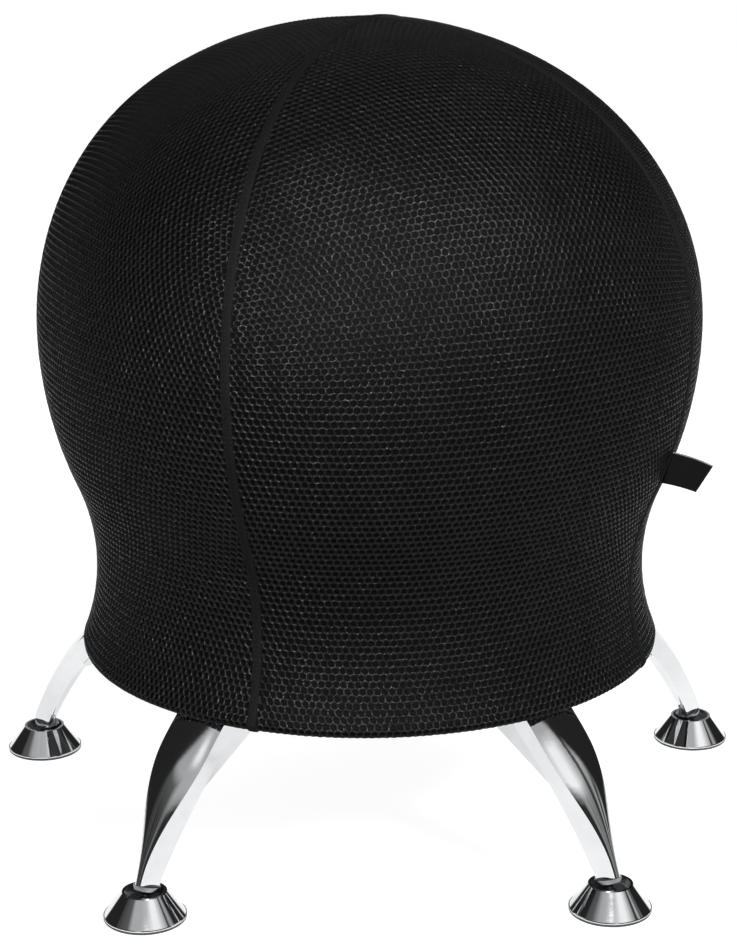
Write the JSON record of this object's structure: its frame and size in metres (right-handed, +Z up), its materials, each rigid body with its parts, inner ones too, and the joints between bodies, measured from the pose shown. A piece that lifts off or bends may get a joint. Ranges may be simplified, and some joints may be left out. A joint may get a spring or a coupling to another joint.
{
  "type": "balance ball chair",
  "caption": "Backless active seat: an inflatable ball in a fitted mesh cover, held in a round tub on chromed horn-shaped legs with swivelling cone feet.",
  "frame": {"origin": "on the floor, at the centre of the circle of the five feet, under the ball's axis", "axes": "+Z up, -Y to the front as pictured, one leg straight back along +Y, +X to the picture's right"},
  "size_m": [0.5556, 0.5312, 0.5669],
  "materials": {
    "ball": "satin anti-burst vinyl, black",
    "plug": "moulded plug, off-white",
    "mesh": "black spacer mesh with staggered round holes",
    "seam": "black woven band, stitched down both edges",
    "binding": "black woven tape and cord",
    "tub": "moulded, fine texture, black",
    "foam": "soft foam, dark grey",
    "brass": "machined",
    "zinc": "bright zinc plate",
    "chrome": "mirror bright plate",
    "bracket": "thin bright plate",
    "stud": "bright zinc plate",
    "nylon": "moulded nylon, black",
    "pad": "smooth moulded pad, dark grey"
  },
  "bodies": {
    "base": {"inflatable_ball": "ball", "cover_panel_rear_right": "mesh", "seam_band_right": "seam", "cover_panel_rear_left": "mesh", "seam_band_rear": "seam", "cover_panel_front_left": "mesh", "seam_band_left": "seam", "cover_panel_front_right": "mesh", "seam_band_front": "seam", "hem_binding": "binding", "hem_cord": "binding", "cover_tag": "binding", "base_tub": "tub", "foam_cradle": "foam", "threaded_inserts": "brass", "leg_bolts": "zinc", "leg_washers": "zinc", "leg_shell_back": "chrome", "leg_bracket_back": "bracket", "stud_sleeve_back": "chrome", "ball_stud_back": "stud", "leg_shell_rear_left": "chrome", "leg_bracket_rear_left": "bracket", "stud_sleeve_rear_left": "chrome", "ball_stud_rear_left": "stud", "leg_shell_front_left": "chrome", "leg_bracket_front_left": "bracket", "stud_sleeve_front_left": "chrome", "ball_stud_front_left": "stud", "leg_shell_front_right": "chrome", "leg_bracket_front_right": "bracket", "stud_sleeve_front_right": "chrome", "ball_stud_front_right": "stud", "leg_shell_rear_right": "chrome", "leg_bracket_rear_right": "bracket", "stud_sleeve_rear_right": "chrome", "ball_stud_rear_right": "stud"},
    "valve": {"valve_plug": "plug"},
    "swivel_back": {"glide_socket_back": "nylon"},
    "foot_back": {"glide_cone_back": "chrome", "glide_pad_back": "pad"},
    "swivel_rear_left": {"glide_socket_rear_left": "nylon"},
    "foot_rear_left": {"glide_cone_rear_left": "chrome", "glide_pad_rear_left": "pad"},
    "swivel_front_left": {"glide_socket_front_left": "nylon"},
    "foot_front_left": {"glide_cone_front_left": "chrome", "glide_pad_front_left": "pad"},
    "swivel_front_right": {"glide_socket_front_right": "nylon"},
    "foot_front_right": {"glide_cone_front_right": "chrome", "glide_pad_front_right": "pad"},
    "swivel_rear_right": {"glide_socket_rear_right": "nylon"},
    "foot_rear_right": {"glide_cone_rear_right": "chrome", "glide_pad_rear_right": "pad"}
  },
  "joints": [
    {"name": "valve_plug_pull", "type": "slide", "parent": "base", "child": "valve", "axis": [0, 0, -1], "range_m": [0, 0.025]},
    {"name": "glide_tilt_back", "type": "hinge", "parent": "base", "child": "swivel_back", "pos_m": [0, 0.263, 0.011], "axis": [-1, 0, 0], "range_deg": [-8, 8]},
    {"name": "glide_spin_back", "type": "hinge", "parent": "swivel_back", "child": "foot_back", "pos_m": [0, 0.263, 0.011], "axis": [0, 0, 1], "continuous": true},
    {"name": "glide_tilt_rear_left", "type": "hinge", "parent": "base", "child": "swivel_rear_left", "pos_m": [-0.25013, 0.08127, 0.011], "axis": [-0.309, -0.9511, 0], "range_deg": [-8, 8]},
    {"name": "glide_spin_rear_left", "type": "hinge", "parent": "swivel_rear_left", "child": "foot_rear_left", "pos_m": [-0.25013, 0.08127, 0.011], "axis": [0, 0, 1], "continuous": true},
    {"name": "glide_tilt_front_left", "type": "hinge", "parent": "base", "child": "swivel_front_left", "pos_m": [-0.15459, -0.21277, 0.011], "axis": [0.809, -0.5878, 0], "range_deg": [-8, 8]},
    {"name": "glide_spin_front_left", "type": "hinge", "parent": "swivel_front_left", "child": "foot_front_left", "pos_m": [-0.15459, -0.21277, 0.011], "axis": [0, 0, 1], "continuous": true},
    {"name": "glide_tilt_front_right", "type": "hinge", "parent": "base", "child": "swivel_front_right", "pos_m": [0.15459, -0.21277, 0.011], "axis": [0.809, 0.5878, 0], "range_deg": [-8, 8]},
    {"name": "glide_spin_front_right", "type": "hinge", "parent": "swivel_front_right", "child": "foot_front_right", "pos_m": [0.15459, -0.21277, 0.011], "axis": [0, 0, 1], "continuous": true},
    {"name": "glide_tilt_rear_right", "type": "hinge", "parent": "base", "child": "swivel_rear_right", "pos_m": [0.25013, 0.08127, 0.011], "axis": [-0.309, 0.9511, 0], "range_deg": [-8, 8]},
    {"name": "glide_spin_rear_right", "type": "hinge", "parent": "swivel_rear_right", "child": "foot_rear_right", "pos_m": [0.25013, 0.08127, 0.011], "axis": [0, 0, 1], "continuous": true}
  ]
}
